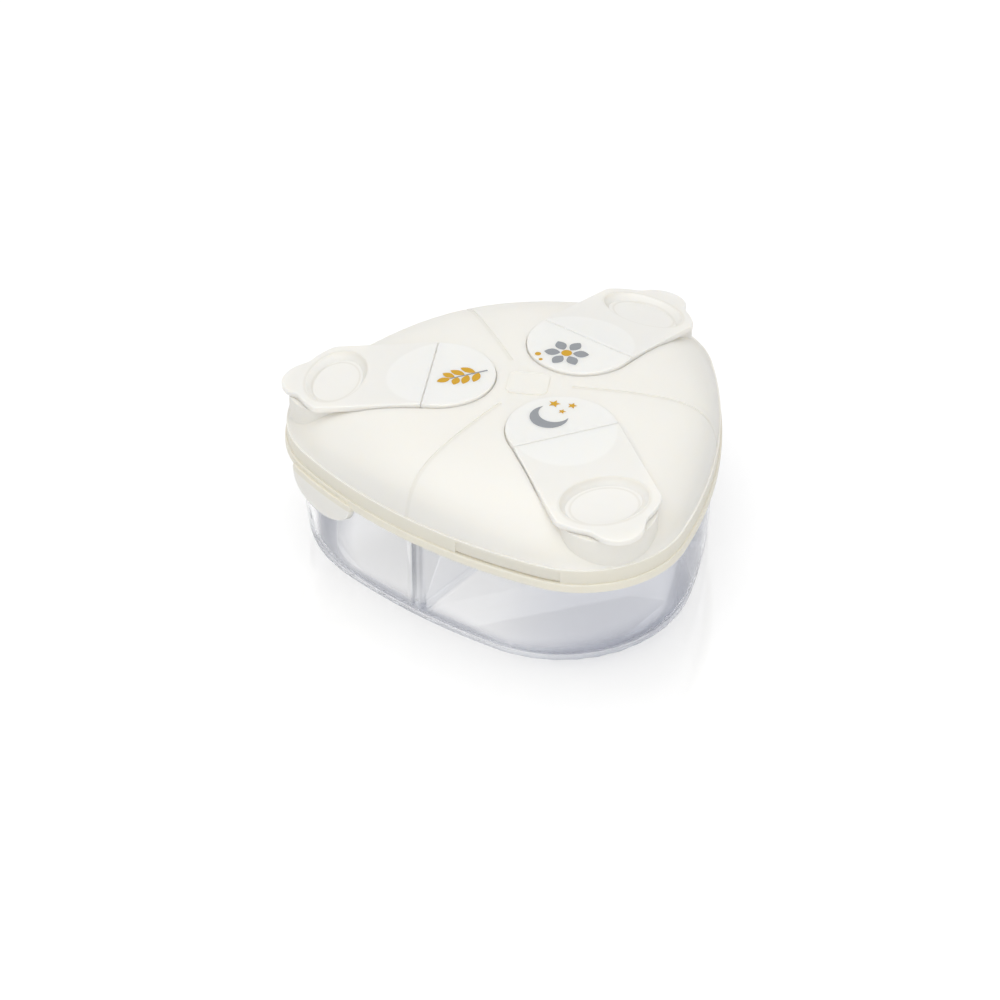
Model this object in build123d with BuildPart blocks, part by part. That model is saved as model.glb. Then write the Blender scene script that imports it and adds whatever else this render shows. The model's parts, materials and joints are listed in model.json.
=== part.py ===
from build123d import *
from math import atan2, cos, degrees, radians, sin, sqrt, tan
import os

# A three-cornered milk powder container: a clear tray, a lift-out divider with three blades,
# a domed lid with three pouring snouts, and three flaps that close them.
# Millimetres. The origin is on the three-fold axis at the underside, +Z is up,
# and the front corner points along -Y.

# Directions of the three corners, in degrees from +X
flap_directions = {"front": -90.0, "right": 30.0, "left": 150.0}

# Plan of the lid's lower lip: reach of a corner, corner radius, and how far a side's middle
# stands out past the straight line between two corners
lip_corner_reach = 72.6
lip_corner_radius = 32.5
lip_side_bulge = 4.85

# Lid
rim_in_lid = 6.7
lip_height = 2.8
lip_proud = 0.6
lip_edge_radius = 0.4
skirt_height = 7.5
lid_wall = 1.4
crown_rise = 16.2
crown_wall = 2.0
dome_ledge = 0.5
rim_wall = 0.8
shoulder_sharpness = 6
crown_flat_share = 0.02
dome_fullness = 2.3
dome_levels = [1.0, 0.9, 0.75, 0.55, 0.35, 0.15]
lid_gap = 0.4
seal_gap = 0.3
seal_wall = 1.2
seal_depth = 6.0
seat_gap = 0.2
stop_rib_thickness = 1.2
stop_rib_angles = [-24.0, -8.0, 8.0, 24.0]

# Tray
tray_wall = 1.8
tray_floor = 2.0
tray_height = 39.3
tray_foot_corner_draw = 7.3
tray_foot_radius_rise = 10.5
tray_foot_side_bulge = 0.65
tray_bottom_radius = 8.0
guide_rib_thickness = 1.2
guide_rib_reach = 3.0
guide_rib_drop = 8.0
floor_rib_height = 0.9

# Divider
blade_thickness = 1.6
blade_gap = 0.3
blade_top_gap = 0.6
hub_radius = 3.4
hub_bore_radius = 2.0
blade_rib_thickness = 1.0
blade_rib_depth = 3.6

# Flaps
flap_width = 32.8
flap_thickness = 1.8
flap_rise = 0.9
flap_edge_radius = 0.4
hinge_to_corner = 43.4
hinge_slit = 0.3
pad_setback = 3.15
pad_margin = 0.5
cover_slope = 8.65
cover_gap = 0.2
channel_gap = 0.3
end_arc_radius = 19.8
end_arc_to_corner = 22.8
end_corner_radius = 4.0
thumb_radius = 8.5
thumb_to_corner = 6.9
thumb_blend_radius = 6.0
peg_radius = 1.5
peg_gap = 0.05
peg_length = 3.2
peg_setback = 7.35
peg_spacing = 18.0

# Dish pressed into each cover, and the plug ring under it
dish_to_corner = 15.2
dish_semi_radial = 9.1
dish_semi_lateral = 13.3
dish_depth = 2.0
dish_wall_run = 1.8
dish_floor = 1.2
plug_inset = 0.2
plug_wall = 1.3
plug_depth = 3.0
plug_draft = 0.3
plug_gap = 0.35

# Snouts
snout_margin = 1.9
snout_wall = 1.4
nose_to_corner = 1.3
snout_nose_radius = 16.5
snout_corner_radius = 8.0
snout_skin = 1.5

# Badge, seams, recess and lift tab
badge_length = 12.2
badge_width = 11.6
badge_corner_radius = 2.4
badge_rise = 0.35
badge_rim = 0.7
badge_rim_rise = 0.15
badge_direction = -30.0
seam_width = 1.2
seam_depth = 0.25
seam_start = 13.0
recess_start = -132.5
recess_end = -104.5
recess_depth = 0.3
recess_margin = 0.9
slit_depth = 0.9
slit_height = 0.5
tab_direction = 177.0
tab_length = 26.0
tab_top_rise = 1.4
tab_drop = 8.0
tab_out = 0.8
tab_thickness = 1.4

# Heights that follow from the sizes above
lip_bottom = tray_height - rim_in_lid
skirt_bottom = lip_bottom + lip_height
skirt_top = lip_bottom + skirt_height
crown_height = skirt_top + crown_rise
flap_top = crown_height + flap_rise
guide_rib_top = tray_height - guide_rib_drop

# Half the angle between two corners
half_sector = 180 / len(flap_directions)

# Reaches that follow from the lid's plan
hinge_reach = lip_corner_reach - hinge_to_corner
pad_reach = hinge_reach - pad_setback
peg_reach = hinge_reach - peg_setback
end_arc_reach = lip_corner_reach - end_arc_to_corner
thumb_reach = lip_corner_reach - thumb_to_corner
dish_reach = lip_corner_reach - dish_to_corner
snout_nose_reach = lip_corner_reach - nose_to_corner
tray_foot_corner_reach = lip_corner_reach - tray_foot_corner_draw
tray_foot_corner_radius = lip_corner_radius + tray_foot_radius_rise
lip_side_reach = (lip_corner_reach + lip_corner_radius) / 2 + lip_side_bulge
tray_foot_side_reach = (tray_foot_corner_reach + tray_foot_corner_radius) / 2 + tray_foot_side_bulge

# Sizes of what fits together
pad_radius = flap_width / 2 - pad_margin
snout_width = flap_width - 2 * snout_margin
plug_semi_radial = dish_semi_radial - plug_inset
plug_semi_lateral = dish_semi_lateral - plug_inset
skirt_inset = lip_proud
skirt_inner_inset = skirt_inset + lid_wall
tray_inset = skirt_inner_inset + lid_gap
cavity_inset = tray_inset + tray_wall
seal_outer_inset = cavity_inset + seal_gap
seal_inner_inset = seal_outer_inset + seal_wall
seal_bottom = tray_height + seat_gap - seal_depth
margin = 10.0
far_reach = lip_corner_reach + margin


def rounded_triangle(corner_reach, side_reach, corner_radius):
    """Face with three corner arcs and three side arcs, tangent where they meet."""
    centre_reach = corner_reach - corner_radius
    side_radius = (
        (side_reach - centre_reach / 2) ** 2 + 0.75 * centre_reach**2 - corner_radius**2
    ) / (2 * side_reach - 2 * corner_radius - centre_reach)
    side_offset = side_radius - side_reach
    side_half = degrees(atan2(centre_reach * sin(radians(half_sector)), centre_reach / 2 + side_offset))
    corner_half = half_sector - side_half
    with BuildSketch() as face:
        with BuildLine():
            for direction in flap_directions.values():
                corner_centre = polar(centre_reach, direction)
                CenterArc(corner_centre, corner_radius, direction - corner_half, 2 * corner_half)
                side = direction + half_sector
                side_centre = polar(-side_offset, side)
                CenterArc(side_centre, side_radius, side - side_half, 2 * side_half)
        make_face()
    return face.sketch


def polar(reach, direction):
    return (reach * cos(radians(direction)), reach * sin(radians(direction)))


def lid_plan(inset):
    """Plan of the lid's lip, drawn in by an inset."""
    return rounded_triangle(
        lip_corner_reach - inset, lip_side_reach - inset, lip_corner_radius - inset
    )


def make_prism(plan, low, high):
    """Upright solid over a plan, from one height to another."""
    with BuildPart() as prism:
        with BuildSketch(Plane.XY.offset(low)):
            add(plan)
        extrude(amount=high - low)
    return prism.part


def make_dome(inset, crown, rim):
    """Filled dome over the lid's plan: level curves turn from round at the crown
    to three-cornered at the rim, and the crown is flat with full shoulders."""
    rim_corner = lip_corner_reach - inset
    rim_side = lip_side_reach - inset
    sharpness = (lip_corner_radius - inset) / (2 * rim_side - rim_corner)
    side_limit = (rim_side**-shoulder_sharpness - rim_corner**-shoulder_sharpness) ** (
        -1 / shoulder_sharpness
    )
    with BuildPart() as dome:
        for level in dome_levels + [crown_flat_share]:
            corner = rim_corner * sqrt(level)
            side = (corner**-shoulder_sharpness + side_limit**-shoulder_sharpness) ** (
                -1 / shoulder_sharpness
            )
            drop = (crown - rim) * level**dome_fullness
            with BuildSketch(Plane.XY.offset(crown - drop)):
                add(rounded_triangle(corner, side, sharpness * (2 * side - corner)))
        loft()
    return dome.part


def make_bowl(inset, bottom, edge_radius, rise):
    """Filled tray shape with a rounded bottom edge, wider at the corners of its rim,
    and carried straight up past the rim by a rise."""
    with BuildPart() as bowl:
        with BuildSketch(Plane.XY.offset(bottom)):
            add(
                rounded_triangle(
                    tray_foot_corner_reach - inset,
                    tray_foot_side_reach - inset,
                    tray_foot_corner_radius - inset,
                )
            )
        with BuildSketch(Plane.XY.offset(tray_height)):
            add(lid_plan(tray_inset + inset))
        loft(ruled=True)
        fillet(bowl.faces().sort_by(Axis.Z)[0].edges(), radius=edge_radius)
        if rise > 0:
            extrude(bowl.faces().sort_by(Axis.Z)[-1], amount=rise)
    return bowl.part


def bowl_space(gap):
    """Filled hollow of the tray, drawn in by a gap and carried up past the rim."""
    inset = tray_wall + gap
    return make_bowl(inset, tray_floor + gap, tray_bottom_radius - inset, 2 * margin)


def blade_planes():
    """Upright planes through the axis, one along each side's middle."""
    return [
        Plane(origin=(0, 0, 0), x_dir=(*polar(1, direction + half_sector), 0), z_dir=(0, 0, 1))
        for direction in flap_directions.values()
    ]


def radial_bars(thickness, offset, start, end, low, high):
    """Pairs of upright bars beside the three blades, or single bars where the offset is 0."""
    with BuildPart() as bars:
        for plane in blade_planes():
            with BuildSketch(plane.offset(low)):
                for side in {offset, -offset}:
                    with Locations(((start + end) / 2, side)):
                        Rectangle(end - start, thickness)
            extrude(amount=high - low)
    return bars.part


def make_tray():
    with BuildPart() as cavity:
        add(bowl_space(0))
        rib_offset = blade_thickness / 2 + blade_gap + guide_rib_thickness / 2
        inner_side = lip_side_reach - cavity_inset
        add(
            radial_bars(
                guide_rib_thickness, rib_offset, inner_side - guide_rib_reach, far_reach, 0, guide_rib_top
            ),
            mode=Mode.SUBTRACT,
        )
        add(
            radial_bars(
                guide_rib_thickness, rib_offset, hub_radius, far_reach, 0, tray_floor + floor_rib_height
            ),
            mode=Mode.SUBTRACT,
        )
    with BuildPart() as tray:
        add(make_bowl(0, 0, tray_bottom_radius, 0))
        add(cavity.part, mode=Mode.SUBTRACT)
    return tray


def make_divider():
    """Three blades on a hollow hub. Their ends follow the tray, their tops the dome."""
    with BuildPart() as divider:
        add(radial_bars(blade_thickness, 0, 0, far_reach, 0, crown_height))
        Cylinder(hub_radius, crown_height, align=(Align.CENTER, Align.CENTER, Align.MIN))
        add(bowl_space(blade_gap), mode=Mode.INTERSECT)
        add(lid_underside(blade_top_gap), mode=Mode.INTERSECT)
        notch = make_prism(lid_plan(0), seal_bottom - blade_top_gap, crown_height)
        add(notch - bowl_space(seal_gap + seal_wall + blade_top_gap), mode=Mode.SUBTRACT)
        with Locations((0, 0, tray_floor)):
            Cylinder(hub_bore_radius, crown_height, align=(Align.CENTER, Align.CENTER, Align.MIN),
                     mode=Mode.SUBTRACT)
    return divider


def lid_underside(drop):
    """Filled space under the dome, its top lowered by a drop."""
    rim = skirt_top - rim_wall - drop
    dome = make_dome(skirt_inner_inset + dome_ledge, crown_height - crown_wall - drop, rim)
    base = make_prism(lid_plan(skirt_inner_inset), -margin, rim)
    return dome + base


def flap_plane(direction):
    """Level plane through the hinge line at the flap's top: X runs outwards, Y along the hinge."""
    return Plane(
        origin=(*polar(hinge_reach, direction), flap_top),
        x_dir=(*polar(1, direction), 0),
        z_dir=(0, 0, 1),
    )


def cover_plane(direction):
    """The flap's plane tilted down by the cover's slope about the hinge line."""
    fall = sin(radians(cover_slope))
    run = cos(radians(cover_slope))
    return Plane(
        origin=flap_plane(direction).origin,
        x_dir=(*polar(run, direction), -fall),
        z_dir=(*polar(fall, direction), run),
    )


def snout_plan(inset):
    """Plan of a snout from the pad's centre to its rounded nose, along +X from the hinge."""
    half = snout_width / 2 - inset
    nose = snout_nose_reach - hinge_reach - inset
    start = pad_reach - hinge_reach
    radius = snout_nose_radius - inset
    shoulder = nose - radius + sqrt(radius**2 - half**2)
    with BuildSketch() as plan:
        with BuildLine():
            Polyline((shoulder, -half), (start, -half), (start, half), (shoulder, half))
            ThreePointArc((shoulder, half), (nose, 0), (shoulder, -half))
        make_face()
        ends = plan.vertices().sort_by(Axis.X)[2:]
        fillet(ends, radius=snout_corner_radius - inset)
    return plan.sketch


def under_flap(direction, anchor_drop, cover_drop):
    """Filled space under a flap: level as far as the hinge, then sloping with the cover."""
    reach = snout_nose_reach + margin - hinge_reach
    level = -flap_thickness - anchor_drop
    slope_start = -flap_thickness - cover_drop
    slope_end = slope_start - reach * tan(radians(cover_slope))
    across = Plane(
        origin=flap_plane(direction).origin,
        x_dir=(*polar(1, direction), 0),
        z_dir=(*polar(1, direction - 90), 0),
    )
    with BuildPart() as space:
        with BuildSketch(across):
            with BuildLine():
                Polyline(
                    (-hinge_reach, level),
                    (-hinge_slit, level),
                    (-hinge_slit, slope_start),
                    (reach, slope_end),
                    (reach, -flap_top),
                    (-hinge_reach, -flap_top),
                    close=True,
                )
            make_face()
        extrude(amount=flap_width, both=True)
    return space.part


def make_boss(direction, inset, low, anchor_drop, cover_drop):
    """Round pad under the anchor joined to the snout under the cover, cut to their underside."""
    plane = flap_plane(direction)
    with BuildPart() as boss:
        with BuildSketch(plane.offset(low - flap_top)):
            with Locations((pad_reach - hinge_reach, 0)):
                Circle(pad_radius - inset)
            add(snout_plan(inset))
        extrude(amount=flap_top - low)
        add(under_flap(direction, anchor_drop, cover_drop), mode=Mode.INTERSECT)
    return boss.part


def flap_plan(gap, end):
    """Strip as wide as a flap and widened by a gap, with a half-round inner end."""
    half = flap_width / 2 + gap
    centre = pad_reach - hinge_reach
    with BuildSketch() as plan:
        with BuildLine():
            Polyline((centre, -half), (end, -half), (end, half), (centre, half))
            ThreePointArc((centre, half), (centre - half, 0), (centre, -half))
        make_face()
    return plan.sketch


def make_channel(direction, gap, skin):
    """Everything over a flap's place, from its underside lowered by a skin upwards."""
    floor = flap_top - skirt_top
    with BuildPart() as channel:
        with BuildSketch(flap_plane(direction).offset(-floor)):
            add(flap_plan(gap, far_reach - hinge_reach))
        extrude(amount=floor + margin)
        add(under_flap(direction, skin, cover_gap + skin), mode=Mode.SUBTRACT)
    return channel.part


def cover_plan():
    """Outline of a cover along +X from the hinge: straight sides, a round end and a thumb tab."""
    half = flap_width / 2
    start = hinge_slit / 2
    centre = end_arc_reach - hinge_reach
    side_end = centre + sqrt(end_arc_radius**2 - half**2)
    with BuildSketch() as plan:
        with BuildLine():
            Polyline((side_end, -half), (start, -half), (start, half), (side_end, half))
            ThreePointArc((side_end, half), (centre + end_arc_radius, 0), (side_end, -half))
        make_face()
        fillet(plan.vertices().sort_by(Axis.X)[2:], radius=end_corner_radius)
        with Locations((thumb_reach - hinge_reach, 0)):
            Circle(thumb_radius)
        inner_corners = plan.vertices().filter_by(
            lambda corner: abs(corner.Y) < thumb_radius and corner.X > centre
        )
        fillet(inner_corners, radius=thumb_blend_radius)
    return plan.sketch


def place_pegs(plane, radius, start, length):
    """Two round pegs, or the holes for them, through the pad under an anchor."""
    with BuildPart() as pegs:
        with BuildSketch(plane.offset(start)):
            with Locations((peg_reach - hinge_reach, 0)):
                with GridLocations(0, peg_spacing, 1, 2):
                    Circle(radius)
        extrude(amount=-length)
    return pegs.part


def make_anchor(direction):
    """Fixed, printed half of a flap, with two pegs that hold it in the lid."""
    plane = flap_plane(direction)
    with BuildPart() as anchor:
        with BuildSketch(plane):
            add(flap_plan(0, -hinge_slit / 2))
        extrude(amount=-flap_thickness)
        top = anchor.faces().sort_by(Axis.Z)[-1]
        fillet(top.edges(), radius=flap_edge_radius)
        add(place_pegs(plane, peg_radius, -flap_thickness, peg_length))
    return anchor


def make_oval(plane, depth, semi_radial, semi_lateral, length, narrowing):
    """Oval block that starts at a depth below a cover's top and narrows downwards."""
    with BuildPart() as oval:
        for drop, inset in [(depth, 0), (depth + length, narrowing)]:
            with BuildSketch(plane.offset(-drop)):
                with Locations((dish_reach - hinge_reach, 0)):
                    Ellipse(semi_radial - inset, semi_lateral - inset)
        loft()
    return oval.part


def make_cover(direction):
    """Moving half of a flap: plate with a thumb tab, a pressed dish and a plug ring below it."""
    plane = cover_plane(direction)
    half_plate = flap_thickness / 2
    plug = make_oval(
        plane, half_plate, plug_semi_radial, plug_semi_lateral, half_plate + plug_depth, plug_draft
    )
    inner_radial = plug_semi_radial - plug_wall
    inner_lateral = plug_semi_lateral - plug_wall
    plug_hollow = make_oval(plane, dish_depth + dish_floor, inner_radial, inner_lateral, plug_depth, 0)
    dish = make_oval(plane, 0, dish_semi_radial, dish_semi_lateral, dish_depth, dish_wall_run)
    with BuildPart() as cover:
        with BuildSketch(plane):
            add(cover_plan())
        extrude(amount=-flap_thickness)
        top = cover.faces().sort_by(Axis(plane.origin, plane.z_dir))[-1]
        fillet(top.edges(), radius=flap_edge_radius)
        add(plug)
        add(plug_hollow, mode=Mode.SUBTRACT)
        add(dish, mode=Mode.SUBTRACT)
    return cover


def make_spout_hole(direction):
    """Oval opening through the snout's sloping skin, square to it, a gap larger than the plug."""
    return make_oval(
        cover_plane(direction),
        flap_thickness / 2,
        plug_semi_radial + plug_gap,
        plug_semi_lateral + plug_gap,
        margin,
        0,
    )


def make_lid_space():
    """Everything hollow in the lid: the dome, the skirt and the snouts, less the inner walls."""
    above_seal = make_prism(lid_plan(0), seal_bottom, crown_height)
    with BuildPart() as space:
        add(lid_underside(0))
        ring = bowl_space(seal_gap) - bowl_space(seal_gap + seal_wall)
        add(ring & above_seal, mode=Mode.SUBTRACT)
        rib_offset = blade_thickness / 2 + blade_gap + blade_rib_thickness / 2
        ribs = radial_bars(
            blade_rib_thickness, rib_offset, hub_radius + blade_gap, lip_side_reach - seal_inner_inset,
            0, crown_height,
        )
        add(ribs - lid_underside(blade_rib_depth), mode=Mode.SUBTRACT)
        stops = make_stop_ribs()
        add(stops, mode=Mode.SUBTRACT)
        for direction in flap_directions.values():
            add(make_channel(direction, channel_gap + snout_wall, snout_skin), mode=Mode.SUBTRACT)
            add(
                make_boss(
                    direction, snout_wall, skirt_top - seal_wall, snout_skin, cover_gap + snout_skin
                )
            )
    return space.part


def make_stop_ribs():
    """Short ribs between the sealing wall and the skirt, where the tray's rim stops."""
    core = make_prism(lid_plan(seal_inner_inset), 0, crown_height)
    with BuildPart() as stops:
        for direction in flap_directions.values():
            for angle in stop_rib_angles:
                plane = Plane(
                    origin=(0, 0, tray_height + seat_gap),
                    x_dir=(*polar(1, direction + half_sector + angle), 0),
                    z_dir=(0, 0, 1),
                )
                with BuildSketch(plane):
                    with Locations((far_reach / 2, 0)):
                        Rectangle(far_reach, stop_rib_thickness)
                extrude(amount=margin)
        add(core, mode=Mode.SUBTRACT)
    return stops.part


def make_sector(start, end, low, high):
    """Wedge from the axis outwards between two directions."""
    with BuildPart() as sector:
        with BuildSketch(Plane.XY.offset(low)):
            with BuildLine():
                Polyline((0, 0), polar(far_reach, start), polar(far_reach, end), close=True)
            make_face()
        extrude(amount=high - low)
    return sector.part


def make_recess():
    """Shallow recess in the skirt with a deeper slit along its lower edge."""
    slit_top = skirt_bottom + slit_height
    outer = make_prism(lid_plan(-margin), 0, crown_height)
    shallow = outer - make_prism(lid_plan(skirt_inset + recess_depth), 0, crown_height)
    deep = outer - make_prism(lid_plan(skirt_inset + slit_depth), 0, crown_height)
    panel = make_sector(recess_start, recess_end, skirt_bottom, skirt_top - recess_margin)
    slit = make_sector(recess_start, recess_end, skirt_bottom, slit_top)
    return (shallow & panel) + (deep & slit)


def make_tab():
    """Lift tab: a lobe that starts behind the lip and hangs below it."""
    tab_top = lip_bottom + tab_top_rise
    tab_bottom = lip_bottom - tab_drop
    outer = make_prism(lid_plan(-tab_out), tab_bottom, tab_top)
    behind = make_prism(lid_plan(tab_thickness - tab_out), tab_bottom, tab_top)
    side = Plane(
        origin=(0, 0, 0), x_dir=(*polar(1, tab_direction + 90), 0), z_dir=(*polar(1, tab_direction), 0)
    )
    with BuildPart() as lobe:
        with BuildSketch(side):
            with Locations((0, lip_bottom)):
                Ellipse(tab_length / 2, tab_drop)
        extrude(amount=far_reach)
    return (outer - behind) & lobe.part


def make_lid():
    """Domed lid with three snouts, a skirt with a lip, a lift tab and its inner walls."""
    with BuildPart() as lip:
        with BuildSketch(Plane.XY.offset(lip_bottom)):
            add(lid_plan(0))
        extrude(amount=lip_height)
        fillet(lip.edges().group_by(Axis.Z)[0] + lip.edges().group_by(Axis.Z)[-1], radius=lip_edge_radius)
    with BuildPart() as lid:
        add(make_dome(skirt_inset + dome_ledge, crown_height, skirt_top))
        add(make_prism(lid_plan(skirt_inset), skirt_bottom - lip_height / 2, skirt_top))
        add(lip.part)
        for direction in flap_directions.values():
            add(make_boss(direction, 0, skirt_top, 0, cover_gap))
        flat_top = crown_height - (crown_height - skirt_top) * crown_flat_share**dome_fullness
        badge = Plane(origin=(0, 0, flat_top), x_dir=(*polar(1, badge_direction), 0), z_dir=(0, 0, 1))
        with BuildSketch(badge):
            RectangleRounded(badge_length, badge_width, badge_corner_radius)
        extrude(amount=badge_rise)
        with BuildSketch(badge.offset(badge_rise)):
            RectangleRounded(
                badge_length - 2 * badge_rim,
                badge_width - 2 * badge_rim,
                badge_corner_radius - badge_rim,
            )
        extrude(amount=-badge_rim_rise, mode=Mode.SUBTRACT)
        seams = radial_bars(seam_width, 0, seam_start, far_reach, skirt_top, crown_height)
        lowered = make_dome(skirt_inset + dome_ledge, crown_height - seam_depth, skirt_top - seam_depth)
        add(seams - lowered, mode=Mode.SUBTRACT)
        add(make_lid_space(), mode=Mode.SUBTRACT)
        for direction in flap_directions.values():
            add(make_channel(direction, channel_gap, 0), mode=Mode.SUBTRACT)
            seat = flap_plane(direction).offset(-flap_thickness)
            add(place_pegs(seat, peg_radius + peg_gap, 0, margin / 2), mode=Mode.SUBTRACT)
            add(make_spout_hole(direction), mode=Mode.SUBTRACT)
        add(make_recess(), mode=Mode.SUBTRACT)
        add(make_tab())
    return lid


def write_piece(piece, name):
    piece.part.label = name
    export_step(piece.part, f"parts/{name}.step")


os.makedirs("parts", exist_ok=True)
write_piece(make_tray(), "base_tray")
write_piece(make_divider(), "divider_insert")
write_piece(make_lid(), "lid_shell")
for flap_name, flap_direction in flap_directions.items():
    write_piece(make_anchor(flap_direction), f"flap_anchor_{flap_name}")
    write_piece(make_cover(flap_direction), f"flap_cover_{flap_name}")
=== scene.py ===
import json
import math
import bmesh
import bpy
from mathutils import Matrix, Vector


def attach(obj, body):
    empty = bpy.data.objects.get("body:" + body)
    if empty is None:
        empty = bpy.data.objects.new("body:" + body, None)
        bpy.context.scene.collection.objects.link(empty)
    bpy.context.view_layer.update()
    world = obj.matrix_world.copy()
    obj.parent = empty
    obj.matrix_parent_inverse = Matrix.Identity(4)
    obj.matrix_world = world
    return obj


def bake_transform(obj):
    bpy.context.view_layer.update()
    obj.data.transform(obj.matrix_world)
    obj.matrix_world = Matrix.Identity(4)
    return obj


# Milk powder container: a clear tray and divider, a cream lid, and milky flaps with small prints.
# Everything is in metres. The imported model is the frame; this script adds the finishes, the prints,
# the living hinges, the light and the camera.

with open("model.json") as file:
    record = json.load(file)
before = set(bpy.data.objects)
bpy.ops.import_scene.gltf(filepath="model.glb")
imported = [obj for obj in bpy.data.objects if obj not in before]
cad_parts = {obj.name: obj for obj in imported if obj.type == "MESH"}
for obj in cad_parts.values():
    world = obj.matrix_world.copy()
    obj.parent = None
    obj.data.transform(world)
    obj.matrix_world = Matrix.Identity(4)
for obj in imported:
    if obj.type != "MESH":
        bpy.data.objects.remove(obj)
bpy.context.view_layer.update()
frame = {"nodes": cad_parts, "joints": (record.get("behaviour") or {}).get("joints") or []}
nodes = frame["nodes"]
mm = 0.001
flapTurns = {"front": -90, "right": 30, "left": 150}  # degrees from +X
sideTurns = [turn + 60 for turn in flapTurns.values()]  # the lid's seams and the tray's long sides
print("stage: frame loaded,", len(nodes), "nodes")


# Shader maths as Python expressions: a Wire holds one output socket of a material's tree
class Wire:
    def __init__(self, tree, socket):
        self.tree = tree
        self.socket = socket

    def math(self, operation, other=0.0):
        return makeNode(self.tree, "ShaderNodeMath", {"operation": operation}, {0: self, 1: other})

    def __add__(self, other):
        return self.math("ADD", other)

    def __sub__(self, other):
        return self.math("SUBTRACT", other)

    def __rsub__(self, other):
        return makeNode(self.tree, "ShaderNodeMath", {"operation": "SUBTRACT"}, {0: other, 1: self})

    def __mul__(self, other):
        return self.math("MULTIPLY", other)

    def __abs__(self):
        return self.math("ABSOLUTE")

    __radd__ = __add__
    __rmul__ = __mul__


def makeNode(tree, kind, settings=None, inputs=None, output=0):
    # settings first, then sockets by name or number: a plain value, or a Wire to link
    node = tree.nodes.new(kind)
    for name, value in (settings or {}).items():
        setattr(node, name, value)
    for name, value in (inputs or {}).items():
        if isinstance(value, Wire):
            tree.links.new(value.socket, node.inputs[name])
        else:
            node.inputs[name].default_value = value
    return Wire(tree, node.outputs[output]) if node.outputs else None


def newMaterial(name):
    material = bpy.data.materials.new(name)
    material.use_nodes = True
    tree = material.node_tree
    tree.nodes.clear()
    return material, tree


def closeMaterial(tree, shader):
    makeNode(tree, "ShaderNodeOutputMaterial", {}, {"Surface": shader})


def objectPlace(tree):
    # the point in the frame of the whole object at rest, which stays with a piece that moves
    return makeNode(tree, "ShaderNodeTexCoord", output="Object")


def noise(tree, scale, detail, roughness=0.5):
    return makeNode(tree, "ShaderNodeTexNoise", {}, {
        "Vector": objectPlace(tree), "Scale": scale, "Detail": detail, "Roughness": roughness})


def mixColour(factor, first, second):
    return makeNode(factor.tree, "ShaderNodeMix", {"data_type": "RGBA"},
                    {0: factor, 6: first, 7: second}, 2)


def mixShader(factor, first, second):
    return makeNode(factor.tree, "ShaderNodeMixShader", {}, {0: factor, 1: first, 2: second})


def bump(height, distance, strength):
    return makeNode(height.tree, "ShaderNodeBump", {},
                    {"Height": height, "Distance": distance, "Strength": strength})


def vectorMath(operation, place, other=(0, 0, 0), output="Value"):
    return makeNode(place.tree, "ShaderNodeVectorMath", {"operation": operation},
                    {0: place, 1: other}, output)


def flatten(place):
    return vectorMath("MULTIPLY", place, (1, 1, 0), "Vector")


def heightOf(place):
    return makeNode(place.tree, "ShaderNodeSeparateXYZ", {}, {0: place}, "Z")


def reachTowards(place, turn):
    # how far a point lies from the axis in one direction, given in degrees from +X
    angle = math.radians(turn)
    return vectorMath("DOT_PRODUCT", place, (math.cos(angle), math.sin(angle), 0))


def risesOver(value, band):
    # 0 below a band of values and 1 above it, with a soft change between
    return makeNode(value.tree, "ShaderNodeMapRange", {"interpolation_type": "SMOOTHSTEP"},
                    {"Value": value, "From Min": band[0], "From Max": band[1]})


def joined(operation, wires):
    # one number out of several, such as the smallest
    result = wires[0]
    for wire in wires[1:]:
        result = result.math(operation, wire)
    return result


def rayIs(tree, *kinds):
    # 1 for a ray of any of the given kinds
    return joined("MAXIMUM", [makeNode(tree, "ShaderNodeLightPath", output="Is " + kind + " Ray")
                              for kind in kinds])


def satinPlastic(finish, colour, cloud):
    # milky plastic with a fine grain, into which a little light goes; the cloud is about 0.5 on average
    grain = noise(cloud.tree, finish["grainScale"], finish["grainDetail"])
    return makeNode(cloud.tree, "ShaderNodeBsdfPrincipled", {}, {
        "Base Color": colour,
        "Roughness": finish["roughness"] + (cloud - 0.5) * finish["roughnessSpread"],
        "Normal": bump(grain, finish["grainDepth"], finish["grainStrength"]),
        "IOR": finish["bend"],
        "Subsurface Weight": finish["glow"],
        "Subsurface Radius": finish["glowReach"],
        "Subsurface Scale": finish["glowScale"],
    })


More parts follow.
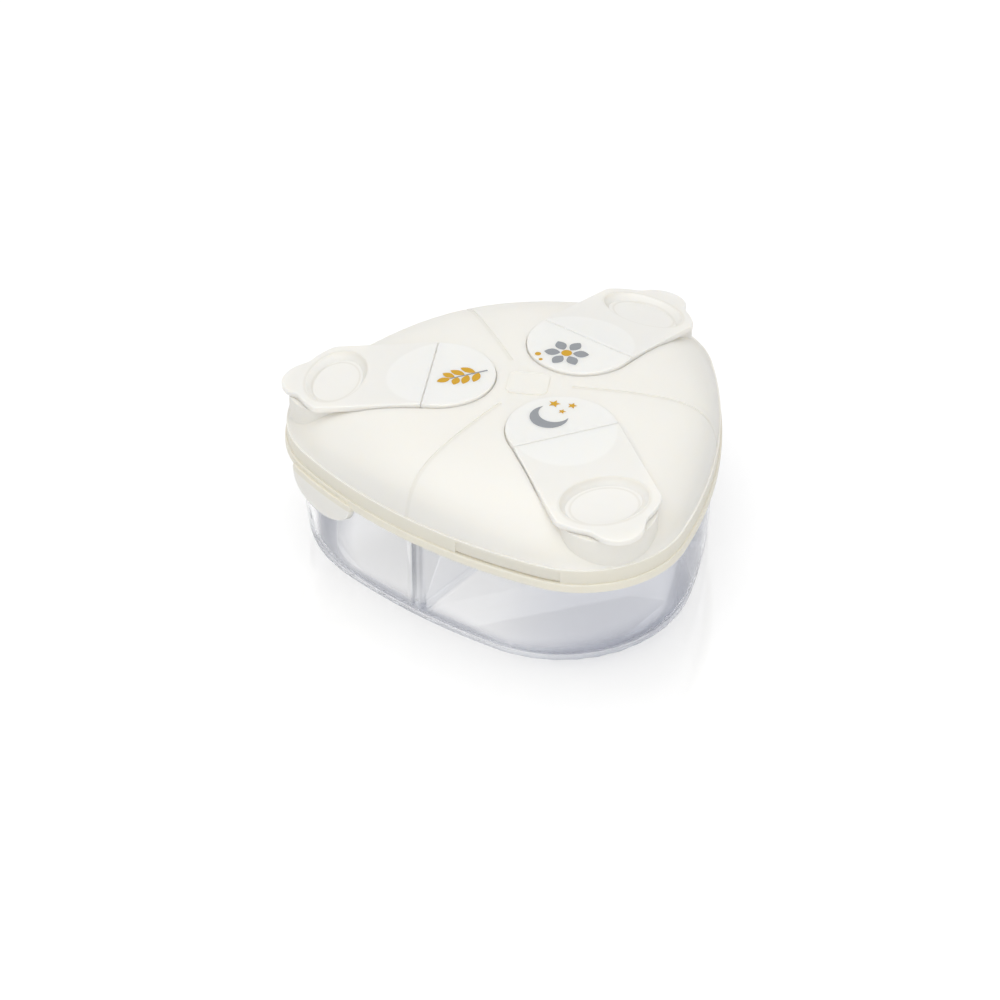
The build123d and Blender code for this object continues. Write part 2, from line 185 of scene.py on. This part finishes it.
# Cream lid: a pair of heights or reaches is a band over which a tone comes in; the skirt, snout, groove
# and badge-edge tones are painted shade
lidFinish = {
    "cream": (0.91, 0.88, 0.812, 1),
    "creamWorn": (0.895, 0.862, 0.79, 1),
    # painted shade: a darker, warmer tone on the vertical skirt band, which gets less light than the
    # dome
    "skirt": (0.825, 0.78, 0.668, 1),
    "skirtTop": (39.6 * mm, 40.3 * mm),
    "skirtFoot": (31.7 * mm, 32.5 * mm),
    # painted shade on the snout wall under each flap tip
    "snout": (0.81, 0.765, 0.665, 1),
    "snoutReach": (60 * mm, 65 * mm),  # from the axis
    "snoutFoot": (40 * mm, 42 * mm),
    "snoutTop": (49 * mm, 54 * mm),
    "snoutShare": 0.3,
    # painted shade in the grooves and along the badge's edge
    "paintedGrooveShade": (0.845, 0.812, 0.735, 1),
    "seamHalf": (0.35 * mm, 1.0 * mm),  # to each side of the groove
    "seamStart": (12.5 * mm, 14 * mm),  # from the axis
    "seamShare": 0.6,
    "badgeHalf": (6.1 * mm, 5.8 * mm),
    "badgeCorner": 2.4 * mm,
    "badgeTurn": -30,
    "badgeFoot": (55 * mm, 55.5 * mm),
    "badgeLine": 0.45 * mm,
    "badgeShare": 0.7,
    "roughness": 0.5,
    "roughnessSpread": 0.08,
    "bend": 1.49,
    "glow": 0.6,
    "glowReach": (1.0, 0.9, 0.75),
    "glowScale": 4 * mm,
    "grainScale": 2600,
    "grainDetail": 1.0,
    "grainDepth": 0.02 * mm,
    "grainStrength": 0.35,
    "cloudScale": 26,
    "cloudDetail": 3.0,
}


def seamMask(place):
    # 1 in the three shallow grooves that run down the dome between the flaps, which get painted shade
    lines = []
    for turn in sideTurns:
        off = abs(reachTowards(place, turn + 90))
        started = risesOver(reachTowards(place, turn), lidFinish["seamStart"])
        lines.append(started * (1.0 - risesOver(off, lidFinish["seamHalf"])))
    return joined("ADD", lines)


def badgeMask(place, height):
    # 1 along the edge of the blank badge, a rounded square on top of the dome, where a line of painted
    # shade goes
    corner = lidFinish["badgeCorner"]
    turns = (lidFinish["badgeTurn"], lidFinish["badgeTurn"] + 90)
    past = [abs(reachTowards(place, turn)) - (half - corner)
            for turn, half in zip(turns, lidFinish["badgeHalf"])]
    outside = [side.math("MAXIMUM", 0.0) for side in past]
    rounded = (outside[0] * outside[0] + outside[1] * outside[1]).math("SQRT")
    inside = joined("MAXIMUM", past).math("MINIMUM", 0.0)
    line = 1.0 - risesOver(abs(rounded + inside - corner), (0.0, lidFinish["badgeLine"]))
    return line * risesOver(height, lidFinish["badgeFoot"])


def makeLidMaterial():
    material, tree = newMaterial("lidCream")
    cloud = noise(tree, lidFinish["cloudScale"], lidFinish["cloudDetail"])
    place = objectPlace(tree)
    height = heightOf(place)
    grooveShade = seamMask(place) * lidFinish["seamShare"]
    # painted shade in a thin line round the badge's edge
    badgeEdgeShade = badgeMask(place, height) * lidFinish["badgeShare"]
    # painted shade on the snout wall below the flap tips
    snout = risesOver(vectorMath("LENGTH", flatten(place)), lidFinish["snoutReach"]) * (
        risesOver(height, lidFinish["snoutFoot"]) - risesOver(height, lidFinish["snoutTop"]))
    # painted shade over the skirt band, between its foot and its top
    skirt = risesOver(height, lidFinish["skirtFoot"]) - risesOver(height, lidFinish["skirtTop"])
    colour = mixColour(cloud, lidFinish["cream"], lidFinish["creamWorn"])
    # painted shade in the grooves and along the badge's edge
    colour = mixColour(grooveShade + badgeEdgeShade, colour, lidFinish["paintedGrooveShade"])
    colour = mixColour(snout * lidFinish["snoutShare"], colour, lidFinish["snout"])
    colour = mixColour(skirt, colour, lidFinish["skirt"])
    closeMaterial(tree, satinPlastic(lidFinish, colour, cloud))
    return material


# Milky flaps: paler over the round pads that carry them, from painted light, with soft lines of painted
# shade round the oval dish
flapFinish = {
    "milk": (0.9, 0.872, 0.81, 1),
    "milkClouded": (0.912, 0.886, 0.828, 1),
    "paintedPadLight": (0.943, 0.919, 0.862, 1),
    "padReach": 26.05 * mm,  # from the axis to the middle of the round pad under a flap
    "padRadius": 15.9 * mm,
    "padBlur": 0.5 * mm,
    "dishReach": 57.4 * mm,  # from the axis to the middle of the oval dish near a flap's tip
    "dishHalf": (9.1 * mm, 13.3 * mm),
    "dishLines": ((1.0, 0.09), (0.77, 0.05)),  # each line's place and blur, as shares of the dish
    # painted shade along the dish's brim and foot
    "dishEdgeShade": (0.77, 0.735, 0.66, 1),
    "dishShare": 0.55,
    "roughness": 0.34,
    "roughnessSpread": 0.06,
    "bend": 1.49,
    "glow": 0.6,
    "glowReach": (1.0, 0.9, 0.75),
    "glowScale": 3 * mm,
    "grainScale": 2600,
    "grainDetail": 1.0,
    "grainDepth": 0.02 * mm,
    "grainStrength": 0.3,
    "cloudScale": 60,
    "cloudDetail": 2.0,
}


def padLightShare(place):
    # 1 over the three pads, where the thin flap lies on cream plastic and painted light makes it paler,
    # standing in for light coming back through the flap
    flat = flatten(place)
    away = []
    for turn in flapTurns.values():
        angle = math.radians(turn)
        middle = (flapFinish["padReach"] * math.cos(angle), flapFinish["padReach"] * math.sin(angle), 0)
        away.append(vectorMath("DISTANCE", flat, middle))
    edge, blur = flapFinish["padRadius"], flapFinish["padBlur"]
    return 1.0 - risesOver(joined("MINIMUM", away), (edge - blur, edge + blur))


def dishMask(place):
    # 1 on the soft oval lines along the dish's brim and foot, on each of the three flaps, where painted
    # shade darkens the dish's edges
    halfOut, halfAside = flapFinish["dishHalf"]
    ovals = []
    for turn in flapTurns.values():
        out = (reachTowards(place, turn) - flapFinish["dishReach"]) * (1 / halfOut)
        aside = reachTowards(place, turn + 90) * (1 / halfAside)
        ovals.append((out * out + aside * aside).math("SQRT"))
    nearest = joined("MINIMUM", ovals)
    return joined("MAXIMUM", [1.0 - risesOver(abs(nearest - share), (0.0, blur))
                              for share, blur in flapFinish["dishLines"]])


def makeFlapMaterial():
    material, tree = newMaterial("flapMilky")
    cloud = noise(tree, flapFinish["cloudScale"], flapFinish["cloudDetail"])
    place = objectPlace(tree)
    colour = mixColour(cloud, flapFinish["milk"], flapFinish["milkClouded"])
    colour = mixColour(dishMask(place) * flapFinish["dishShare"], colour, flapFinish["dishEdgeShade"])
    # painted light over the pads, paler where light would come back through the thin flap
    colour = mixColour(padLightShare(place), colour, flapFinish["paintedPadLight"])
    closeMaterial(tree, satinPlastic(flapFinish, colour, cloud))
    return material


# Clear tray and divider: polished and faintly cool, with painted shade at the foot, painted shade and
# dark reflection at the far ends, and a painted pale edge on the tray's rim
clearFinish = {
    "tray": {
        "middle": (-8 * mm, 3 * mm, 0),  # where farReach starts
        "tint": (0.98, 0.982, 0.988, 1),
        # painted shade: darker lavender at the foot, where light is bent in the rounded walls
        "paintedFootShade": (0.72, 0.735, 0.79, 1),
        # painted shade and dark reflection low at the far ends
        "paintedFarShade": (0.8, 0.813, 0.86, 1),
        "bend": 1.08,
        "footHeight": (0.5 * mm, 10 * mm),
        "footEdge": (0.78, 0.96),  # as shares of the tray's outline
        "farReach": (55 * mm, 70 * mm),
        "farTop": (28 * mm, 36 * mm),
        "footMatt": 0.4,  # more roughness there
        "footShade": 0.5,  # how much of it is satin, as painted shade on the foot
        "rimHeight": (38.8 * mm, 39.2 * mm),
        # painted light: share of satin on the tray's rim, a pale edge
        "rimPaintedEdge": 0.75,
    },
    "divider": {
        "middle": (0, 0, 0),
        "tint": (0.94, 0.945, 0.958, 1),
        "paintedFootShade": (0.88, 0.888, 0.91, 1),
        "paintedFarShade": (0.5, 0.51, 0.54, 1),
        "bend": 1.1,
        "footHeight": (2 * mm, 20 * mm),
        "footEdge": (0.1, 0.25),
        "farReach": (49.5 * mm, 51 * mm),
        "farTop": (60 * mm, 70 * mm),
        "footMatt": 0.0,
        "footShade": 0.0,
        "rimHeight": (60 * mm, 70 * mm),
        "rimPaintedEdge": 0.0,
    },
    "cornerReach": 65.3 * mm,  # of the tray's outline, from the axis
    "sideReach": 54.8 * mm,
    # satin colour: painted shade on the foot band and painted light as a pale edge on the rim
    "satinShadeAndEdge": (0.7, 0.72, 0.79, 1),
    "shadeRoughness": 0.35,
    "roughness": 0.05,
    "roughnessSpread": 0.04,
    "gloss": 0.25,
    "glossRoughness": 0.04,
    "glossBend": 1.5,
    "flowScale": 45,
    "flowDetail": 1.5,
    "flowDepth": 0.2 * mm,
    "flowStrength": 0.02,
}


def outlineShare(flat):
    # 0 on the axis, and about 1 all along the tray's rounded triangular outline
    shares = [vectorMath("LENGTH", flat) * (1 / clearFinish["cornerReach"])]
    for turn in sideTurns:
        shares.append(reachTowards(flat, turn) * (1 / clearFinish["sideReach"]))
    return joined("MAXIMUM", shares)


def makeClearMaterial(name, part):
    finish = clearFinish[part]
    material, tree = newMaterial(name)
    flow = noise(tree, clearFinish["flowScale"], clearFinish["flowDetail"])
    place = objectPlace(tree)
    height = heightOf(place)
    flat = flatten(place)
    low = 1.0 - risesOver(height, finish["footHeight"])
    # painted shade towards the foot of the walls
    foot = low * risesOver(outlineShare(flat), finish["footEdge"])
    # painted shade and dark reflection low at the far ends: the tray's front and right corners, the
    # ends of the divider's blades
    far = risesOver(vectorMath("DISTANCE", flat, finish["middle"]), finish["farReach"]) * (
        1.0 - risesOver(height, finish["farTop"]))
    rim = risesOver(height, finish["rimHeight"])
    colour = mixColour(far, finish["tint"], finish["paintedFarShade"])
    unevenness = flow * clearFinish["roughnessSpread"]
    clear = makeNode(tree, "ShaderNodeBsdfPrincipled", {}, {
        "Base Color": mixColour(foot, colour, finish["paintedFootShade"]),
        "Roughness": clearFinish["roughness"] + unevenness + foot * finish["footMatt"],
        "Normal": bump(flow, clearFinish["flowDepth"], clearFinish["flowStrength"]),
        "IOR": finish["bend"],
        "Transmission Weight": 1.0,
        "Coat Weight": (1.0 - foot) * clearFinish["gloss"],
        "Coat Roughness": clearFinish["glossRoughness"],
        "Coat IOR": clearFinish["glossBend"],
    })
    satin = makeNode(tree, "ShaderNodeBsdfPrincipled", {}, {
        "Base Color": clearFinish["satinShadeAndEdge"], "Roughness": clearFinish["shadeRoughness"] + unevenness})
    # satin over the clear plastic, as painted shade on the foot and a painted pale edge on the rim
    solid = mixShader(foot * finish["footShade"] + rim * finish["rimPaintedEdge"], clear, satin)
    # lamps shine through the clear walls on to what is behind them, instead of a solid shadow; at the
    # far ends that light takes the painted shade tone
    nearWay, farWay = [makeNode(tree, "ShaderNodeBsdfTransparent", {}, {"Color": finish[tint]})
                       for tint in ("tint", "paintedFarShade")]
    through = mixShader(far, nearWay, farWay)
    closeMaterial(tree, mixShader(rayIs(tree, "Shadow", "Diffuse"), solid, through))
    return material


lidMaterial = makeLidMaterial()
flapMaterial = makeFlapMaterial()
materialOf = {
    "base_tray": makeClearMaterial("trayClear", "tray"),
    "divider_insert": makeClearMaterial("dividerClear", "divider"),
    "lid_shell": lidMaterial,
}
for flap in flapTurns:
    materialOf["flap_anchor_" + flap] = flapMaterial
    materialOf["flap_cover_" + flap] = flapMaterial
for name, material in materialOf.items():
    nodes[name].data.materials.clear()
    nodes[name].data.materials.append(material)
print("stage: materials on", len(materialOf), "nodes")


def flapPlace(flap):
    # a flap's own place: origin on the hinge line, X outwards, Y along the hinge, Z up
    hinge = next(joint for joint in frame["joints"] if joint["name"] == "cover_" + flap + "_hinge")
    along = Vector(hinge["axis"]).normalized()
    outwards = Vector((-along.y, along.x, 0))
    up = Vector((0, 0, 1))
    place = Matrix((outwards, up.cross(outwards), up)).transposed().to_4x4()
    place.translation = Vector(hinge["pos_m"])
    return place


def meshPiece(name, form, place, material):
    mesh = bpy.data.meshes.new(name)
    form.to_mesh(mesh)
    form.free()
    mesh.transform(place)
    mesh.materials.append(material)
    piece = bpy.data.objects.new(name, mesh)
    bpy.context.scene.collection.objects.link(piece)
    return piece


# Prints: small generic motifs on the fixed half of each flap, in mustard and grey
printStyle = {
    "mustard": (0.66, 0.37, 0.006, 1),
    "mustardShade": (0.60, 0.32, 0.004, 1),
    "grey": (0.31, 0.325, 0.345, 1),
    "greyShade": (0.27, 0.285, 0.305, 1),
    "speckleScale": 900,
    "speckleDetail": 3.0,
    "speckleRoughness": 0.7,
    "roughness": 0.42,
    "roughnessSpread": 0.1,
    "bend": 1.45,
    "thickness": 0.03 * mm,
    "setback": 10.6 * mm,  # from the hinge line back to the middle of a print
    "leafSteps": 14,
    "leafFullness": 0.8,
    "circleSteps": 40,
    "dotSteps": 24,
    "crescentSteps": (36, 30),  # outer and inner arc
}


def makeInkMaterial(name, colour, satinShadeAndEdge):
    material, tree = newMaterial(name)
    speckle = noise(tree, printStyle["speckleScale"], printStyle["speckleDetail"],
                    printStyle["speckleRoughness"])
    shader = makeNode(tree, "ShaderNodeBsdfPrincipled", {}, {
        "Base Color": mixColour(speckle, colour, satinShadeAndEdge),
        "Roughness": printStyle["roughness"] + speckle * printStyle["roughnessSpread"],
        "IOR": printStyle["bend"],
    })
    closeMaterial(tree, shader)
    return material


mustardInk = makeInkMaterial("inkMustard", printStyle["mustard"], printStyle["mustardShade"])
greyInk = makeInkMaterial("inkGrey", printStyle["grey"], printStyle["greyShade"])


# The outlines of the prints are in millimetres, with X outwards until a print is turned
def pointAt(centre, radius, turn):
    angle = math.radians(turn)
    return (centre[0] + radius * math.cos(angle), centre[1] + radius * math.sin(angle))


def arc(centre, radius, start, sweep, steps):
    return [pointAt(centre, radius, start + sweep * i / steps) for i in range(steps + 1)]


def circle(centre, radius, steps):
    return arc(centre, radius, 0, 360, steps)[:-1]


def leaf(foot, length, width, turn):
    # two arcs that meet in points, as a leaf or a petal
    shares = [i / printStyle["leafSteps"] for i in range(printStyle["leafSteps"] + 1)]
    side = [(length * share, width * math.sin(math.pi * share) ** printStyle["leafFullness"] / 2)
            for share in shares]
    outline = side + [(x, -y) for x, y in reversed(side[1:-1])]
    c, s = math.cos(math.radians(turn)), math.sin(math.radians(turn))
    return [(foot[0] + x * c - y * s, foot[1] + x * s + y * c) for x, y in outline]


def star(centre, reach, waist):
    # five points, with a waist between each two
    return [pointAt(centre, waist if i % 2 else reach, 90 + 36 * i) for i in range(10)]


def crescent(centre, radius, bite, shift):
    # outer arc, then back along a smaller circle that is moved to the side
    outerSteps, innerSteps = printStyle["crescentSteps"]
    meet = (radius ** 2 - bite ** 2 + shift ** 2) / (2 * shift)
    outer = math.degrees(math.acos(meet / radius))
    inner = math.degrees(math.acos((meet - shift) / bite))
    outline = arc(centre, radius, outer, 360 - 2 * outer, outerSteps)
    hollow = arc((centre[0] + shift, centre[1]), bite, 360 - inner, -(360 - 2 * inner), innerSteps)
    return outline + hollow[1:-1]


def printPiece(name, outlines, flap, turn, ink):
    # each outline becomes a thin raised patch of ink
    form = bmesh.new()
    for outline in outlines:
        form.faces.new([form.verts.new((x * mm, y * mm, 0)) for x, y in outline])
    raised = bmesh.ops.extrude_face_region(form, geom=list(form.faces))
    moved = [item for item in raised["geom"] if isinstance(item, bmesh.types.BMVert)]
    bmesh.ops.translate(form, verts=moved, vec=(0, 0, printStyle["thickness"]))
    bmesh.ops.recalc_face_normals(form, faces=form.faces)
    middle = Matrix.Translation((-printStyle["setback"], 0, 0))
    turned = Matrix.Rotation(math.radians(turn), 4, "Z")
    piece = meshPiece(name, form, flapPlace(flap) @ (middle @ turned), ink)
    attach(piece, "lid")


moonPrint = {
    "flap": "front",
    "turn": 118,
    "centre": (-1.5, 0),
    "radius": 5.6,
    "bite": 4.7,
    "shift": 2.6,
    # middle, reach of the points and of the waists
    "stars": [((4.6, 3.0), 1.9, 0.85), ((3.0, -1.2), 1.2, 0.55), ((7.2, -1.6), 1.5, 0.68)],
}


def makeMoonPrint():
    # a crescent moon with small stars
    moon = crescent(moonPrint["centre"], moonPrint["radius"], moonPrint["bite"], moonPrint["shift"])
    stars = [star(centre, reach, waist) for centre, reach, waist in moonPrint["stars"]]
    printPiece("print_moon", [moon], moonPrint["flap"], moonPrint["turn"], greyInk)
    printPiece("print_stars", stars, moonPrint["flap"], moonPrint["turn"], mustardInk)


sprigPrint = {
    "flap": "left",
    "turn": 30,
    "leafPairs": [(-4.2, 5.0), (-0.8, 4.8), (2.4, 4.0)],  # place along the stem, and length
    "leafStagger": 0.9,
    "leafGap": 0.25,
    "leafWidth": 2.4,
    "leafTurn": 50,
    "tip": (4.8, 4.2),  # the same for the last leaf
    "stem": [(-7.0, -0.3), (4.8, -0.2), (4.8, 0.2), (-7.0, 0.3)],
}


def makeSprigPrint():
    # a leafy sprig: pairs of leaves and one at the tip
    gap, width, turn = sprigPrint["leafGap"], sprigPrint["leafWidth"], sprigPrint["leafTurn"]
    pairs = sprigPrint["leafPairs"]
    tipPlace, tipLength = sprigPrint["tip"]
    leaves = [leaf((x, gap), length, width, turn) for x, length in pairs]
    leaves += [leaf((x + sprigPrint["leafStagger"], -gap), length, width, -turn) for x, length in pairs]
    leaves.append(leaf((tipPlace, 0), tipLength, width, 0))
    printPiece("print_sprig", leaves, sprigPrint["flap"], sprigPrint["turn"], mustardInk)
    printPiece("print_stem", [sprigPrint["stem"]], sprigPrint["flap"], sprigPrint["turn"], greyInk)


flowerPrint = {
    "flap": "right",
    "turn": 0,
    "petalTurns": range(0, 360, 60),
    "petalStart": 1.9,
    "petalLength": 4.8,
    "petalWidth": 3.4,
    "heart": 1.6,
    "dots": [((-5.6, 6.4), 0.9), ((-7.4, 4.0), 0.6)],
}


def makeFlowerPrint():
    # an open flower with two dots
    petals = [leaf(pointAt((0, 0), flowerPrint["petalStart"], turn), flowerPrint["petalLength"],
                   flowerPrint["petalWidth"], turn) for turn in flowerPrint["petalTurns"]]
    rounds = [circle((0, 0), flowerPrint["heart"], printStyle["circleSteps"])]
    rounds += [circle(centre, radius, printStyle["dotSteps"]) for centre, radius in flowerPrint["dots"]]
    printPiece("print_petals", petals, flowerPrint["flap"], flowerPrint["turn"], greyInk)
    printPiece("print_heart", rounds, flowerPrint["flap"], flowerPrint["turn"], mustardInk)


makeMoonPrint()
makeSprigPrint()
makeFlowerPrint()
print("stage: prints")


# Living hinges: a thin web in each slit, low in the groove
webStyle = {
    "reach": 0.5 * mm,  # to each side of the hinge line
    "half": 15.9 * mm,
    "top": 0.55 * mm,  # below the hinge line
    "thickness": 0.3 * mm,
    "bands": 8,
    "slitHalf": 0.15 * mm,
}


def makeWeb(flap):
    place = flapPlace(flap)
    half, top = webStyle["half"], -webStyle["top"]
    foot = top - webStyle["thickness"]
    section = ((-half, top), (half, top), (half, foot), (-half, foot))
    form = bmesh.new()
    rows = []
    for i in range(webStyle["bands"] + 1):
        x = -webStyle["reach"] + 2 * webStyle["reach"] * i / webStyle["bands"]
        rows.append([form.verts.new((x, y, z)) for y, z in section])
    for first, second in zip(rows, rows[1:]):
        for a, b in ((0, 1), (1, 2), (2, 3), (3, 0)):
            form.faces.new((first[a], first[b], second[b], second[a]))
    form.faces.new(rows[0])
    form.faces.new(rows[-1])
    bmesh.ops.recalc_face_normals(form, faces=form.faces)
    web = meshPiece("hinge_web_" + flap, form, place, flapMaterial)
    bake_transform(web)


for flap in flapTurns:
    makeWeb(flap)
print("stage: hinge webs")


# Floor and light
studio = {
    "white": (1, 1, 1, 1),
    "floorSize": 3.0,
    "floorSquares": 8,
    "floorTone": (0.97, 0.97, 0.97, 1),
    "floorShare": 0.42,
    "floorWhite": 1.3,
    "floorRoughness": 0.07,
    "floorBend": 2.1,
    "roomStrength": 0.6,
    "lampTarget": (0, 0, 20 * mm),
    "softboxPower": 4.3,
    "softboxSize": 1.1,
    "softboxPlace": (-0.17, -0.1, 0.9),
    "fillPower": 1.3,
    "fillSize": 0.5,
    "fillPlace": (-0.15, -0.9, 0.42),
}


def seenDirectly(tree):
    # 1 where the camera, a reflection or clear plastic looks straight at it
    return rayIs(tree, "Camera", "Glossy", "Transmission")


def makeFloor():
    form = bmesh.new()
    squares = studio["floorSquares"]
    bmesh.ops.create_grid(form, x_segments=squares, y_segments=squares, size=studio["floorSize"])
    material, tree = newMaterial("studioFloor")
    satin = makeNode(tree, "ShaderNodeBsdfPrincipled", {}, {
        "Base Color": studio["floorTone"],
        "Roughness": studio["floorRoughness"],
        "IOR": studio["floorBend"],
    })
    bright = makeNode(tree, "ShaderNodeEmission", {},
                      {"Color": studio["white"], "Strength": studio["floorWhite"]})
    share = seenDirectly(tree) * studio["floorShare"]
    closeMaterial(tree, mixShader(share, satin, bright))
    meshPiece("studio_floor", form, Matrix.Identity(4), material)


def makeRoom():
    world = bpy.data.worlds.new("studioRoom")
    bpy.context.scene.world = world
    world.use_nodes = True
    tree = world.node_tree
    tree.nodes.clear()
    strength = studio["roomStrength"] + seenDirectly(tree) * (1.0 - studio["roomStrength"])
    room = makeNode(tree, "ShaderNodeBackground", {}, {"Color": studio["white"], "Strength": strength})
    makeNode(tree, "ShaderNodeOutputWorld", {}, {"Surface": room})


def makeLamp(name):
    data = bpy.data.lights.new(name, "AREA")
    data.energy = studio[name + "Power"]
    data.size = studio[name + "Size"]
    lamp = bpy.data.objects.new(name, data)
    bpy.context.scene.collection.objects.link(lamp)
    place = Vector(studio[name + "Place"])
    lamp.location = place
    lamp.rotation_mode = "QUATERNION"
    lamp.rotation_quaternion = (Vector(studio["lampTarget"]) - place).to_track_quat("-Z", "Y")


makeFloor()
makeRoom()
makeLamp("softbox")
makeLamp("fill")
print("stage: floor and light")


# Camera at the photograph's angle
view = {
    "azimuth": -22.41,
    "elevation": 36.05,
    "distance": 983.3 * mm,
    "target": (0, 0, 21 * mm),
    "lens": 118.22,
    "sensor": 36,
    "shiftX": -0.027,
    "shiftY": -0.0195,
    "roll": -0.61,
    "nearest": 10 * mm,
    "farthest": 20,
}


def makeCamera():
    data = bpy.data.cameras.new("camera")
    data.lens = view["lens"]
    data.sensor_width = view["sensor"]
    data.shift_x = view["shiftX"]
    data.shift_y = view["shiftY"]
    data.clip_start = view["nearest"]
    data.clip_end = view["farthest"]
    camera = bpy.data.objects.new("camera", data)
    bpy.context.scene.collection.objects.link(camera)
    a, e = math.radians(view["azimuth"]), math.radians(view["elevation"])
    back = Vector((math.sin(a) * math.cos(e), -math.cos(a) * math.cos(e), math.sin(e)))
    camera.location = Vector(view["target"]) + back * view["distance"]
    camera.rotation_mode = "QUATERNION"
    level = (-back).to_track_quat("-Z", "Y")
    roll = Matrix.Rotation(math.radians(-view["roll"]), 4, "Z").to_quaternion()
    camera.rotation_quaternion = level @ roll
    bpy.context.scene.camera = camera


makeCamera()
bpy.context.scene.view_settings.view_transform = "Standard"
print("stage: camera")
